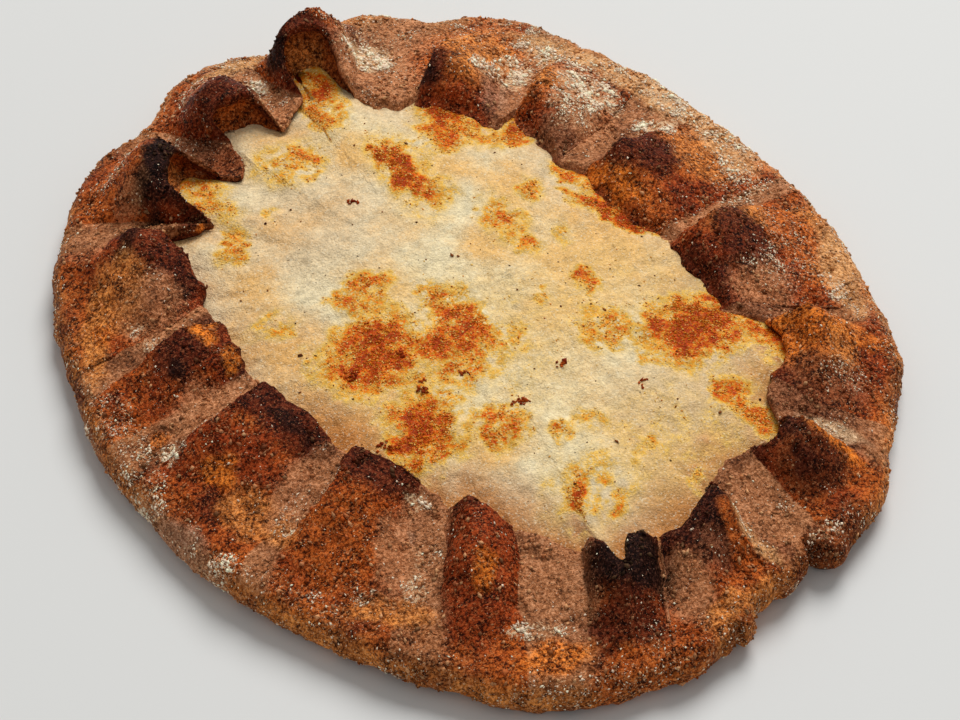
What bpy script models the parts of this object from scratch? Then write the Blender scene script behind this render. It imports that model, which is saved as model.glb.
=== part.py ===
"""A Karelian pasty: an open oval pie of thin rye dough. The rim of the dough is turned in over the edge of a smooth
porridge filling and crimped into sixteen pleats, which all lean towards one end.

The pasty stands on Z = 0 and +Y runs along it, towards the end that the pleats lean to. Lengths in the tables are
millimetres and angles are degrees, counted from +X towards +Y."""

from collections import namedtuple

import bmesh
import bpy
import numpy as np

MM = 0.001

# Driving dimensions, in millimetres.
WIDTH = 94.0  # the oval of the outline, along X
LENGTH = 113.0  # the oval of the outline, along Y
BASE_THICKNESS = 2.2  # the flat sheet of dough under the filling
FOLD_MIDDLE = 2.2  # height of the outer fold's widest line
FOLD_TOP = 5.0  # height of the outer fold's top
FOLD_INSET = 2.4  # how far the fold's top and foot lie in from its widest line
VALLEY_HEIGHT = 7.5  # top of the dough where a valley meets the filling
VALLEY_SAG = 0.8  # how far a valley hollows between the fold and the filling
LIP_THICKNESS = 1.7  # the sheet of dough at its inner edge
LIP_NOSE = 0.5  # how far the rounded edge stands in beyond the sheet
TUCK = 2.6  # how far the filling reaches out under the lip
HOLLOW = 0.35  # share of a pleat's rise that its underside follows
ARCH_HOLLOW = 0.9  # the same for an arched pleat
ARCH_SHOULDER = 3.0  # how square the shoulders of an arched pleat are; 2 is round
OVERLAP = 0.5  # how far a pleat's steep side leans over the valley before it
FILLING_DOME = 1.4  # how far the filling's middle stands above its edge
FILLING_EDGE = 6.4  # height of the filling's surface near a valley
GAP = 0.3  # free space kept between crust and filling

# How finely the faceted solids are cut.
COLUMNS = 160
FOLD_ANGLES = (-55, -5, 40, 75)  # degrees round the outer fold, from its foot to its top
RIM_STEPS = (0.16, 0.32, 0.48, 0.62, 0.76, 0.9, 1.0)  # shares of the way from the fold's top to the lip
FILLING_STEPS = (0.95, 0.9, 0.84, 0.65, 0.35)  # shares of the filling's radius, from its edge in

# One pleat. start and end are the angles of its two sides where they meet the filling, start_foot and end_foot the
# same sides at the outer fold. start_reach and end_reach are the radii at which the sides meet the filling. crest is
# where its top lies between start (0) and end (1), rise its height over the valleys, mouth how far its inner edge is
# drawn back from the filling, and tongue how far the valley after it reaches in over the filling. arched pleats stand
# open towards the filling like a low tunnel.
Pleat = namedtuple(
    "Pleat", "start end start_foot end_foot start_reach end_reach crest rise mouth tongue arched"
)
PLEATS = (
    Pleat(-1, 28, 3, 20.5, 26.8, 27.0, 0.86, 3.2, -2.0, 0.6, False),
    Pleat(37.5, 52.2, 33, 47.5, 26.0, 32.6, 0.84, 3.0, 0.4, 0.6, False),
    Pleat(57, 72.2, 52, 61.2, 31.6, 35.6, 0.84, 3.6, 0.6, 2.4, False),
    Pleat(82, 93, 76, 95, 38.8, 40.8, 0.5, 6.3, 7.6, 0.6, True),
    Pleat(99.5, 110, 98, 113.5, 37.4, 39.4, 0.5, 4.6, 4.6, 3.0, True),
    Pleat(117, 129.5, 119, 134, 36.4, 33.0, 0.5, 4.9, 5.6, 0.2, True),
    Pleat(136, 154, 139.5, 163, 38.6, 31.0, 0.14, 3.4, -2.0, 0.2, False),
    Pleat(159.5, 176, 169.5, 179, 29.6, 27.4, 0.14, 2.6, -0.6, 0.3, False),
    Pleat(184.5, 209.5, 185.5, 209, 27.9, 27.3, 0.14, 3.2, -1.1, 0.4, False),
    Pleat(214.5, 233, 213, 233, 28.2, 28.6, 0.2, 3.2, -1.0, 0.6, False),
    Pleat(239.5, 251.5, 239, 250, 31.6, 35.4, 0.45, 3.2, -1.0, 0.6, False),
    Pleat(261.2, 272.4, 257.5, 265.5, 39.8, 39.6, 0.5, 3.2, 1.2, 0.4, False),
    Pleat(273.6, 286.8, 267, 287, 39.4, 39.7, 0.84, 2.7, 1.2, 1.2, False),
    Pleat(297.5, 304.8, 292, 307.5, 40.2, 41.0, 0.7, 3.4, 1.5, 1.2, False),
    Pleat(313.5, 328.8, 313, 331.5, 38.0, 36.0, 0.84, 2.9, 1.6, 0.6, False),
    Pleat(332.5, 355, 335, 361, 30.0, 27.2, 0.86, 3.1, -0.6, 0.2, False),
)

# Where the outline leaves its oval: middle angle, half width in degrees, and how far out it stands.
Swell = namedtuple("Swell", "angle half_width amount")
OUTLINE_SWELLS = (
    Swell(20, 16, -1.1),
    Swell(58, 7, 1.6),
    Swell(66, 6, -1.4),
    Swell(91, 6, -3.0),
    Swell(112, 6, -2.6),
    Swell(168, 16, -1.2),
    Swell(189, 8, -1.1),
    Swell(203, 13, -1.7),
    Swell(224, 13, -2.5),
    Swell(239, 9, -1.0),
    Swell(264, 7, -0.4),
    Swell(273.5, 2.5, -0.8),
    Swell(282, 6.5, -3.8),
    Swell(290.2, 2.2, -2.8),
    Swell(303, 5, 1.1),
    Swell(313, 6, 0.8),
    Swell(327, 8, 2.4),
    Swell(342, 8, 0.7),
    Swell(350, 8, 0.5),
)


def smooth(share):
    """Eases from 0 to 1 with a level start and end."""
    share = np.clip(share, 0.0, 1.0)
    return share * share * (3.0 - 2.0 * share)


def outline_radius(angle):
    """Radius of the outer fold's widest line."""
    turn = np.radians(angle)
    radius = 1.0 / np.hypot(np.cos(turn) / (WIDTH / 2), np.sin(turn) / (LENGTH / 2))
    for swell in OUTLINE_SWELLS:
        off = (np.asarray(angle) - swell.angle + 180.0) % 360.0 - 180.0
        radius = radius + swell.amount * np.exp(-((off / swell.half_width) ** 2))
    return radius


def pleat_columns(total):
    """The columns that the rim is lofted through, in order round the pasty. Each has its angle at the filling and at
    the fold, its reach at the filling, its share of a pleat's height, that pleat's rise, the share of it that the
    underside follows, and how the pleat leans."""
    columns = []
    for k, pleat in enumerate(PLEATS):
        after = PLEATS[(k + 1) % len(PLEATS)]
        turn = 360.0 if k == len(PLEATS) - 1 else 0.0
        hollow = ARCH_HOLLOW if pleat.arched else HOLLOW
        for share in shares_between(pleat.start, pleat.end, total):
            share = crowded(share, pleat.crest)
            lift = pleat_lift(share, pleat)
            drawn_back = lift if pleat.arched else smooth(share / 0.3) * smooth((1.0 - share) / 0.3)
            lean = np.clip((pleat.crest - 0.5) / 0.3, -1.0, 1.0) * lift**2
            columns.append((between(pleat.start, pleat.end, share), between(pleat.start_foot, pleat.end_foot, share),
                            between(pleat.start_reach, pleat.end_reach, share) + pleat.mouth * drawn_back,
                            lift, pleat.rise, hollow, lean))
        for share in shares_between(pleat.end, after.start + turn, total):
            columns.append((between(pleat.end, after.start + turn, share),
                            between(pleat.end_foot, after.start_foot + turn, share),
                            between(pleat.end_reach, after.start_reach, share) - pleat.tongue * np.sin(np.pi * share),
                            0.0, pleat.rise, hollow, 0.0))
    return np.array(columns).T


def between(first, last, share):
    return first + (last - first) * share


def shares_between(start, end, total):
    """Even shares of the stretch between two angles, at the spacing that gives this many columns in all."""
    count = max(2, round(total * (end - start) / 360.0))
    return [step / count for step in range(count)]


def crowded(share, crest):
    """Moves a pleat's columns closer together on its steep side, which a quarter of them cover."""
    steep = min(crest, 1.0 - crest)
    crowd = max(steep, 0.25)
    if crest > 0.5:
        return 1.0 - crowded(1.0 - share, 1.0 - crest)
    if share < crowd:
        return share / crowd * steep
    return steep + (share - crowd) / (1.0 - crowd) * (1.0 - steep)


def pleat_lift(share, pleat):
    """Height across a pleat, from 0 at its sides to 1 at its crest: square-shouldered where it is arched, otherwise
    round on the steep side and easing out on the other."""
    if pleat.arched:
        return 1.0 - abs(2.0 * share - 1.0) ** ARCH_SHOULDER
    crest = pleat.crest
    if crest > 0.5:
        share, crest = 1.0 - share, 1.0 - crest
    if share < crest:
        return np.sin(0.5 * np.pi * share / crest)
    rest = (1.0 - share) / (1.0 - crest)
    return (1.0 - crest) * smooth(rest) + crest * np.sin(0.5 * np.pi * rest)


def polar(radius, angle, height):
    turn = np.radians(angle)
    return np.stack([radius * np.cos(turn), radius * np.sin(turn), np.broadcast_to(height, turn.shape)], axis=1)


class Rim:
    """The crimped rim as rings of points, one point for each column."""

    def __init__(self, total):
        inner_angle, outer_angle, reach, self.lift, self.rise, hollow, self.lean = pleat_columns(total)
        self.outer = polar(outline_radius(outer_angle), outer_angle, 0.0)
        self.inner = polar(reach, inner_angle, 0.0)
        across = self.inner - self.outer
        self.width = np.linalg.norm(across, axis=1)
        self.inward = across / self.width[:, None]
        self.along = np.stack([self.inward[:, 1], -self.inward[:, 0], np.zeros(len(reach))], axis=1)
        self.lip_top = VALLEY_HEIGHT + self.rise * self.lift
        self.lip_underside = VALLEY_HEIGHT - LIP_THICKNESS + hollow * self.rise * self.lift

    def at(self, inset, height):
        """The ring this far in from the outline, at this height."""
        points = self.outer + self.inward * np.broadcast_to(inset, self.width.shape)[:, None]
        points[:, 2] = height
        return points

    def fold(self, angle):
        """A ring on the outer fold. 0 is its widest line, -90 its foot and 90 its top."""
        turn = np.radians(angle)
        half = FOLD_MIDDLE if angle < 0 else FOLD_TOP - FOLD_MIDDLE
        return self.at(FOLD_INSET * (1.0 - np.cos(turn)), FOLD_MIDDLE + half * np.sin(turn))

    def top(self, share):
        """A ring on the rim's top, from the fold (0) to the lip (1)."""
        start = self.fold(FOLD_ANGLES[-1])[0, 2]
        first_inset = FOLD_INSET * (1.0 - np.cos(np.radians(FOLD_ANGLES[-1])))
        grown = smooth((share + 0.05) / 0.95)
        height = start + (VALLEY_HEIGHT - start) * (1.0 - (1.0 - share) ** 2)
        height = height - VALLEY_SAG * np.sin(np.pi * share) * (1.0 - self.lift) + self.rise * self.lift * grown
        ring = self.at(first_inset + (self.width - first_inset) * share, height)
        return ring + self.along * (OVERLAP * self.lean * grown)[:, None]

    def lip(self, inset, height):
        """A ring at the lip, this far in beyond the edge of its sheet."""
        ring = self.top(1.0)
        ring = ring + self.inward * np.broadcast_to(inset, self.width.shape)[:, None]
        ring[:, 2] = height
        return ring


def loft(name, rings, first_centre, last_centre):
    """A closed mesh object through rings of points in millimetres, closed at each end with a fan to its centre."""
    count = len(rings[0])
    mesh = bmesh.new()
    rows = [[mesh.verts.new(point * MM) for point in ring] for ring in rings]
    for row, above in zip(rows, rows[1:]):
        for k in range(count):
            after = (k + 1) % count
            mesh.faces.new((row[k], row[after], above[after], above[k]))
    for row, centre, turned in ((rows[0], first_centre, True), (rows[-1], last_centre, False)):
        hub = mesh.verts.new(np.array(centre) * MM)
        for k in range(count):
            after = (k + 1) % count
            mesh.faces.new((hub, row[after], row[k]) if turned else (hub, row[k], row[after]))
    bmesh.ops.recalc_face_normals(mesh, faces=mesh.faces)
    data = bpy.data.meshes.new(name)
    mesh.to_mesh(data)
    mesh.free()
    data.shade_smooth()
    data.set_sharp_from_angle(angle=np.radians(50))
    return bpy.data.objects.new(name, data)


def scaled(ring, share, height):
    """The ring shrunk towards the pasty's middle, laid level at this height."""
    small = ring * share
    small[:, 2] = height
    return small


def make_crust(rim):
    """The rye crust: a flat base, the outer fold, the crimped rim and the lip that laps over the filling."""
    foot = rim.at(FOLD_INSET, 0.0)
    floor_edge = rim.lip(-TUCK, BASE_THICKNESS)
    rings = [scaled(foot, 0.5, 0.0), foot]
    rings += [rim.fold(angle) for angle in FOLD_ANGLES]
    rings += [rim.top(share) for share in RIM_STEPS]
    rings.append(rim.lip(LIP_NOSE, 0.55 * rim.lip_top + 0.45 * rim.lip_underside))
    rings.append(rim.lip(0.0, rim.lip_underside))
    rings.append(rim.lip(-TUCK, rim.lip_underside))
    rings += [floor_edge, scaled(floor_edge, 0.5, BASE_THICKNESS)]
    return loft("crust", rings, (0, 0, 0), (0, 0, BASE_THICKNESS))


def make_filling(rim):
    """The porridge: it fills the crust, reaches out under the lip and stands a little domed in the middle."""
    under = np.minimum(rim.lip_underside - GAP, FILLING_EDGE)
    bottom = rim.lip(GAP - TUCK, BASE_THICKNESS + GAP)
    edge = rim.lip(LIP_NOSE + GAP, under)
    rings = [scaled(bottom, 0.5, BASE_THICKNESS + GAP), bottom, rim.lip(GAP - TUCK, under), edge]
    for share in FILLING_STEPS:
        dome = FILLING_EDGE + FILLING_DOME * (1.0 - share**2)
        rings.append(scaled(edge, share, dome + (under - FILLING_EDGE) * smooth((share - 0.85) / 0.15)))
    return loft("filling", rings, (0, 0, BASE_THICKNESS + GAP), (0, 0, FILLING_EDGE + FILLING_DOME))


def material(name, colour, roughness):
    made = bpy.data.materials.new(name)
    made.use_nodes = True
    shader = made.node_tree.nodes["Principled BSDF"]
    shader.inputs["Base Color"].default_value = (*colour, 1.0)
    shader.inputs["Roughness"].default_value = roughness
    shader.inputs["Metallic"].default_value = 0.0
    return made


def centre_on_origin(objects, measured):
    """Moves the objects together, so that the measured one's box is centred over the origin."""
    points = np.array([vertex.co for vertex in measured.data.vertices])
    middle = (points.min(axis=0) + points.max(axis=0)) / 2
    for obj in objects:
        obj.location = (-middle[0], -middle[1], 0.0)


def main():
    for obj in list(bpy.data.objects):
        bpy.data.objects.remove(obj)
    pasty = bpy.data.collections.new("karelian_pasty")
    bpy.context.scene.collection.children.link(pasty)
    rim = Rim(COLUMNS)
    crust = make_crust(rim)
    filling = make_filling(rim)
    crust.data.materials.append(material("rye_crust", (0.20, 0.085, 0.035), 0.85))
    filling.data.materials.append(material("porridge_filling", (0.76, 0.58, 0.32), 0.5))
    for obj in (crust, filling):
        pasty.objects.link(obj)
    centre_on_origin((crust, filling), crust)


main()
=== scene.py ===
"""A Karelian pasty: the visible surfaces of the rye crust and of the browned porridge filling, with the
flour, the crumbs and the bran on them. Lengths in the tables are millimetres, and angles are degrees,
counted from +X to +Y."""

import math
from collections import namedtuple

import bpy
import numpy as np
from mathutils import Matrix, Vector


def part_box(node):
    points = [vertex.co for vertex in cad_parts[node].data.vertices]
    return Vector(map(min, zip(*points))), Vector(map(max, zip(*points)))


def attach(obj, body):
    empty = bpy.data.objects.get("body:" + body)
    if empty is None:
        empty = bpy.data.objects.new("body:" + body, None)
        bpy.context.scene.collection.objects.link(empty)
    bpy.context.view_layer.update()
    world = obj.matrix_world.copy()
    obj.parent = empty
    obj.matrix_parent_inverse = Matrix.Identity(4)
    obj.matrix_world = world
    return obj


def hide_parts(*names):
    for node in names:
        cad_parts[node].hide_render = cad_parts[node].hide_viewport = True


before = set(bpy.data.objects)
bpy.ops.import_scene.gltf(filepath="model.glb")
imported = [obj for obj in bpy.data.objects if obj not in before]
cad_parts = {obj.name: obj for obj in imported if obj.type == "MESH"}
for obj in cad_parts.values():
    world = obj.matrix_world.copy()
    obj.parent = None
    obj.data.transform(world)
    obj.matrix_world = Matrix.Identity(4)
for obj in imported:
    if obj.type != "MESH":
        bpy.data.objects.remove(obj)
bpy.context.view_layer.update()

MM = 0.001
SEED = 7

# The pasty's driving dimensions. Its oval, base and fold are the solids', and the rest are close to theirs.
# EDGE_FADE is how far in from the filling's edge its height follows the lip.
WIDTH = 94.0
LENGTH = 113.0
BASE_THICKNESS = 2.2
FOLD_MIDDLE = 2.2
FOLD_TOP = 5.0
FOLD_INSET = 2.4
VALLEY_HEIGHT = 7.5
VALLEY_SAG = 0.9
PLEAT_LIP = 1.5
VALLEY_LIP = 0.9
TUCK = 2.2
OVERLAP = 0.5
FILLING_DOME = 1.7
FILLING_EDGE = 6.5
EDGE_FADE = 6.5
GAP = 0.12

# The lip: its rounding, its extra thickness on the far side, how far and from how far back it sinks into the
# filling there, how much of a narrow rim its underside may take, and the dough left above it.
LIP_ROUNDING = 0.6
FAR_THICKNESS = 0.6
FAR_SINK = 1.25
FAR_SINK_WIDTH = 1.8
NARROW_TUCK = 0.62
DOUGH_OVER_TUCK = 1.1

# How finely the surfaces are divided.
CRUST_COLUMNS = 1130
FILLING_COLUMNS = 760
FEWEST_VALLEY_COLUMNS = 8
STEEP_SIDE_COLUMNS = 0.25
TOP_ROWS = 58
FILLING_ROWS = 116
FOLD_ANGLES = (-80, -60, -40, -20, 0, 20, 38, 55, 71, 82)
LIP_TURNS = (20, 50, 80, 110, 140, 170)
UNDER_STEPS = (0.12, 0.28, 0.46, 0.64, 0.82, 1.0)

# Rows of the crust's rings: the first on its outer fold, the one at the middle of its lip, after which the
# dough faces inwards, and how many lie on its hidden floor. EDGE_ROW is the filling's at its visible edge.
FIRST_SURFACE_ROW = 3
LIP_ROW = FIRST_SURFACE_ROW + len(FOLD_ANGLES) + TOP_ROWS + len(LIP_TURNS) // 2
FLOOR_ROWS = 2
EDGE_ROW = 3

# Parts of the round: middle angle, how far it reaches before and after it, and the fade at its ends.
FAR_LIP_SECTOR = (28, 62, 58, 8)
FAR_LOOK_SECTOR = (42, 85, 85, 30)
NEAR_LOOK_SECTOR = (265, 95, 95, 40)
LEFT_LOOK_SECTOR = (160, 60, 60, 30)

# Layers of unevenness: amount, size of the lumps and seed.
DOUGH_LUMPS = ((0.32, 5.0, 1), (0.2, 2.2, 2), (0.13, 1.05, 3), (0.09, 0.55, 4))
FILLING_LUMPS = ((0.28, 8.0, 5), (0.2, 3.2, 6), (0.11, 1.3, 7), (0.05, 0.65, 8))
RIM_SWAY = ((0.5, 4.5, 11), (0.2, 1.9, 12))
LIP_RAGS = ((0.28, 1.7, 21), (0.2, 0.7, 22))

# The same for the edges of browned and floury places, which stray both ways on the plan.
CRUST_STRAY = ((0.7, 3.0, 31), (0.45, 1.1, 33))
TOAST_STRAY = ((0.9, 2.6, 51), (0.7, 0.9, 53))

# Small matter: how many grains of each kind, the half width and half length of the oval over which bran is
# strewn, and the height below which the crust carries no grains.
FLOUR_GRAINS = 20000
CRUST_CRUMBS = 11000
STREWN_BRAN = 170
STREWN_OVAL = (27, 38)
CLUSTER_CRUMBS = 14
TOASTED_GRAINS = 14000
LOWEST_GRAIN = 0.7


def table(fields, *rows, defaults=()):
    """The rows of a table, with named fields."""
    kind = namedtuple("Row", fields, defaults=defaults)
    return [kind(*row) for row in rows]


# The pleats. start and end are the angles of a pleat's two sides where they meet the filling, start_foot
# and end_foot the same at the outer fold, start_reach and end_reach their radii at the filling. crest is
# where its top lies between start (0) and end (1), rise its height over the valleys. mouth is how far its
# inner edge is drawn back from the filling, tongue how far the valley after it reaches in over the filling.
# bend curves it sideways, nose is the share of its height that it loses towards the filling. A hooded pleat
# stands open like a tunnel's mouth, and climb is how far the filling rises into it.
PLEATS = table(
    "start end start_foot end_foot start_reach end_reach crest rise mouth tongue bend nose hooded climb",
    (-1, 28, 3, 20.5, 26.4, 26.6, 0.86, 3.2, -2, 0.6, 1, 0.85, 0, 0),
    (37.5, 52.2, 33, 47.5, 25.6, 32.2, 0.84, 3, 0.4, 0.6, -1, 0.85, 0, 0),
    (57, 72.2, 52, 61.2, 31.2, 35.2, 0.84, 3.6, 0.6, 2.4, 0, 0.85, 0, 0),
    (82.6, 92.6, 76, 95, 38.8, 40.8, 0.5, 6.3, 7.2, 0.8, 0, 0.1, 1, 0.7),
    (100, 109.6, 98, 113.5, 37.4, 39.6, 0.5, 4.5, 4.2, 3.4, 0, 0.1, 1, 0.4),
    (117, 129.5, 119, 134, 36.6, 33, 0.5, 4.8, 6.4, 0.2, 0, 0.1, 1, 0.7),
    (136, 154, 139.5, 163, 38.6, 31, 0.12, 3.4, -2, 0.2, 2, 0.25, 0, 0),
    (159.5, 176, 169.5, 179, 29.6, 27.4, 0.1, 2.6, -0.6, 0.3, -1, 0.3, 0, 0),
    (184.5, 209.5, 185.5, 209, 27.9, 27.3, 0.12, 3.2, -1.1, 0.4, 0, 0.15, 0, 0),
    (214.5, 233, 213, 233, 28.2, 28.6, 0.2, 3.2, -1, 0.6, -0.5, 0.15, 0, 0),
    (239.5, 251.5, 239, 250, 31.6, 35.4, 0.45, 3.2, -1, 0.6, 0, 0.1, 0, 0),
    (261.2, 272.6, 257.5, 266, 39.9, 42, 0.5, 3.2, 0.4, 0, 0, 0, 0, 0),
    (273.2, 286.8, 266.6, 287, 41.8, 39.7, 0.84, 2.7, 1.2, 1.2, -1, 0.25, 0, 0),
    (297.5, 304.8, 292, 307.5, 40.2, 41, 0.7, 3.4, 1.5, 1.2, 0, 0.3, 0, 0),
    (313.5, 328.8, 313, 331.5, 38, 36, 0.84, 2.9, 1.6, 0.6, 0, 0.85, 0, 0),
    (332.5, 355, 335, 361, 30, 27, 0.86, 3.1, -0.6, 0.2, -0.8, 0.7, 0, 0),
)

# Where the outline leaves its oval: middle angle, half width in degrees, and how far out it stands.
OUTLINE_SWELLS = table(
    "angle half_width amount",
    (20, 16, -1.1), (58, 7, 1.6), (66, 6, -1.4), (91, 6, -3), (112, 6, -2.6), (168, 16, -1.2),
    (189, 8, -1.1), (203, 13, -1.7), (224, 13, -2.5), (239, 9, -1), (264, 7, -0.4), (273.5, 2.5, -0.8),
    (282, 6.5, -3.8), (289, 2.2, -1.8), (290.4, 0.6, -1.6), (303, 5, 1.1), (313, 6, 0.8), (327, 8, 2.4),
    (342, 8, 0.7), (350, 8, 0.5),
)

# Thin torn edges of dough that stand out from the fold: start and end angle, and how far out they stand.
OUTLINE_FLAPS = table(
    "start end amount",
    (284.2, 289.4, 0.5), (281.2, 283.4, 0.4), (275.6, 278.6, 1), (273.2, 274.6, 0.6), (291, 293.6, 0.5),
)

# Where the lip is nicked, or stands in over the filling: middle angle, half width, how far back it lies.
LIP_NICKS = table(
    "angle half_width amount",
    (265.4, 1.5, 3.4), (262.4, 0.8, -0.5), (132.4, 1.4, -1.2),
)

# Where the valleys are shallow: middle angle, half width, and their share of the pleats' height.
SHALLOWS = table(
    "angle half_width amount",
    (134, 2.5, 0.3), (156.5, 3, 0.25),
)

# Soft hollows in the filling: middle, size and depth.
FILLING_DIPS = table(
    "x y size depth",
    (-3.5, 30, 3, 0.5), (-10.8, 21.5, 3.2, 0.5), (-16, 13, 4, 0.3),
)

# Places where shade is painted on the filling, darkening it: middle, size, and how dark.
PAINTED_SHADE_PLACES = table(
    "x y size amount",
    (-10, 20, 12, 0.3), (-23, 4, 7, 0.25), (17, -31, 14, 0.45), (22, 14, 8, 0.25),
)

# Browned places on the crust, and two patches of painted shade: middle angle and radius, half lengths round
# # and across the rim, colour, strength, and whether it lies on pleats alone (p) or in valleys alone (v).
CRUST_PATCHES = table(
    "angle radius round across colour strength on",
    (52, 47, 12, 2.8, "tan", 0.8), (26, 45, 14, 2.8, "tan", 0.8), (87, 47.5, 3, 1.6, "dark", 0.9),
    (91.7, 46.5, 1.1, 3.2, "char", 0.9), (103.5, 45.5, 5.5, 2.6, "dark", 0.95, "p"),
    (96, 51.5, 6, 1.6, "tan", 0.8), (97, 41, 3, 4, "mauve", 0.9, "v"), (123, 42.2, 5.5, 2, "char", 1, "p"),
    (127.5, 39.5, 2, 3.5, "char", 0.8, "p"), (113.5, 41, 4, 5, "mauve_dark", 0.9, "v"),
    (125, 47, 7, 3.6, "orange_brown", 0.7), (129.5, 43.5, 2, 1.8, "mauve", 0.5, "p"),
    (132.5, 34.5, 2.2, 2, "dark", 0.9), (113, 36.5, 3.2, 3.4, "brown", 0.85),
    (132.5, 33, 1.6, 1.4, "orange", 0.8), (133, 39.5, 2.2, 1.6, "char", 0.9),
    (84, 48.5, 2.2, 2, "orange_brown", 0.8, "p"), (76, 41.5, 6.5, 5, "mauve", 0.9, "v"),
    (77.5, 45.5, 3, 2.6, "cream", 0.7), (61, 42.5, 7.5, 8.5, "orange_brown", 1),
    # The dark patch at 69 degrees and the char patch at 69.5 are painted shade, in the hollow at the foot of
    # the pleat from 57 to 72 degrees.
    (60, 42.5, 4.5, 6.5, "orange_tan", 0.8, "p"), (69, 38.6, 3, 2.8, "dark", 1, "p"),
    (69.5, 38.2, 1.8, 1.8, "char", 0.8, "p"), (65, 34, 4.5, 2, "rust", 0.8, "p"),
    (55, 38, 3.5, 4.5, "mauve", 0.9, "v"), (56, 36.5, 2.2, 3.5, "grey", 0.6),
    (43, 35, 7, 8.5, "mauve", 0.9, "p"), (48.5, 35.5, 3.6, 4.6, "orange_brown", 0.95, "p"),
    (48, 38.5, 4, 3.4, "orange_tan", 0.8, "p"), (46, 32, 3.4, 1.8, "rust", 0.8, "p"),
    (36, 33, 4.5, 5.5, "mauve", 0.9, "v"), (40, 30, 3, 2.4, "mauve_dark", 0.8),
    (24, 32, 2.2, 2.6, "char", 0.7, "p"), (19, 32.5, 4.6, 3.2, "dark", 0.85, "p"),
    (15, 27.5, 8, 3.4, "orange_brown", 0.95, "p"), (19, 26.5, 5, 1.6, "orange", 0.7, "p"),
    (14, 39, 6, 4.5, "orange_tan", 0.65, "p"), (21, 32, 5, 4.2, "dark", 0.9, "p"),
    (13, 42.5, 5.5, 2.5, "tan", 0.7), (2, 32, 4.5, 4.5, "mauve", 0.9, "v"),
    (353.5, 40, 2, 9, "orange_tan", 0.8, "p"), (346, 44, 7, 3, "orange_tan", 0.7),
    (337, 35.5, 4.5, 4.5, "mauve", 0.75, "p"), (348, 34.5, 5.5, 3.8, "dark", 0.95, "p"),
    (350, 41.5, 5.5, 3.5, "orange_brown", 0.9, "p"), (342, 45.8, 8, 2.2, "tan", 0.7),
    (336.5, 35, 5.5, 5.5, "mauve_dark", 0.7, "v"), (323, 42, 6.5, 6, "orange_brown", 0.95, "p"),
    (324, 44.5, 5, 2.2, "orange_tan", 0.7, "p"), (321, 40, 3.5, 3, "orange", 0.5, "p"),
    (326, 48, 7, 1.6, "rust", 0.8), (327, 38.5, 2, 2.4, "brown", 0.7, "p"),
    (326.5, 43, 1.8, 8, "orange", 0.5, "p"), (316, 43.5, 3, 5, "mauve_dark", 0.7, "p"),
    (321, 35.5, 6, 2.2, "orange", 0.9, "p"), (313, 42.5, 5, 6, "mauve_dark", 0.75, "v"),
    (308.5, 46, 1.6, 4.5, "cream", 0.6), (299.5, 46, 3.6, 4.6, "brown", 0.85, "p"),
    (302.5, 42.5, 1.7, 2, "char", 0.75, "p"), (299, 45.6, 1.2, 1.2, "char", 0.9, "p"),
    (300.5, 47, 2.6, 3, "dark", 0.6, "p"), (304.5, 46.5, 1.4, 4, "orange", 0.85, "p"),
    (293, 52.5, 3, 2.6, "brown", 0.8), (291, 44.5, 4.6, 5.5, "mauve", 0.75, "v"),
    (280.5, 43.6, 6, 5, "dark", 1, "p"), (282, 42.6, 5.5, 3.6, "char", 0.65, "p"),
    (283, 47, 2, 4, "orange_brown", 0.85, "p"), (285, 47.5, 0.9, 4.5, "tan", 0.8),
    (273, 48.5, 3.2, 4.2, "mauve", 0.8, "p"), (278, 46.5, 2.4, 2.4, "mauve_dark", 0.6, "p"),
    (278, 52.3, 6, 1.5, "orange_tan", 0.75), (266.5, 44, 5.5, 4.6, "char", 1, "p"),
    (263, 49.8, 5, 2.8, "dark", 0.85, "p"), (264, 54.5, 7, 2.2, "orange_brown", 0.7),
    (255, 42, 5, 5.5, "mauve", 0.85, "v"), (254, 51, 4.5, 2, "orange", 0.85),
    (245, 40, 5, 9, "rust", 0.85, "p"), (243, 32, 2.4, 1.4, "dark", 0.9, "p"),
    (245.5, 41, 1.4, 2.4, "orange", 0.7, "p"), (236, 38, 3, 6, "mauve", 0.8, "v"),
    (232, 35, 1.5, 1.5, "grey", 0.6), (232, 44.5, 5, 1.9, "orange_tan", 0.8),
    (221.5, 28.5, 6, 3.4, "dark", 0.95, "p"), (223, 38, 6, 6.5, "orange_brown", 0.8, "p"),
    (196, 28.5, 10, 2.8, "dark", 0.75, "p"), (198.5, 28.5, 3, 1.2, "char", 0.8, "p"),
    (197, 35, 9, 3, "rust", 0.9, "p"), (195, 37.5, 2.2, 1.8, "orange", 0.7, "p"),
    (198.5, 41, 2.5, 2, "dark", 0.7, "p"), (206, 39, 5.5, 3, "orange_tan", 0.75),
    (211.5, 32, 2.8, 6, "mauve", 0.8, "v"), (208.5, 33.5, 2.4, 6.5, "mauve", 0.85, "p"),
    (231.5, 36.5, 2.4, 7, "mauve", 0.8, "p"), (162.5, 30.5, 2.4, 1.6, "orange", 0.95, "p"),
    (167.5, 34.5, 4, 3.6, "dark", 0.95, "p"), (171.5, 34.8, 1.4, 1.2, "char", 0.9, "p"),
    (172, 28.5, 1.8, 1.5, "orange", 0.8, "p"), (180.5, 34, 3.6, 4.5, "mauve", 0.8),
    (181.5, 39.5, 1.4, 1.6, "orange", 0.6), (143, 36.5, 5.5, 4.2, "dark", 0.75, "p"),
    (141, 40.5, 3.5, 1.6, "char", 0.85, "p"), (153.5, 36.5, 4, 4, "mauve", 0.75),
    (150, 41, 5, 4, "orange_tan", 0.6, "p"), (157.5, 43, 7.5, 2, "orange_tan", 0.85),
    (157, 42, 2, 1.2, "orange", 0.6), (174, 48, 11, 2, "grey", 0.7), (198, 46, 8, 2, "grey", 0.6),
    defaults=("",),
)

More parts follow.
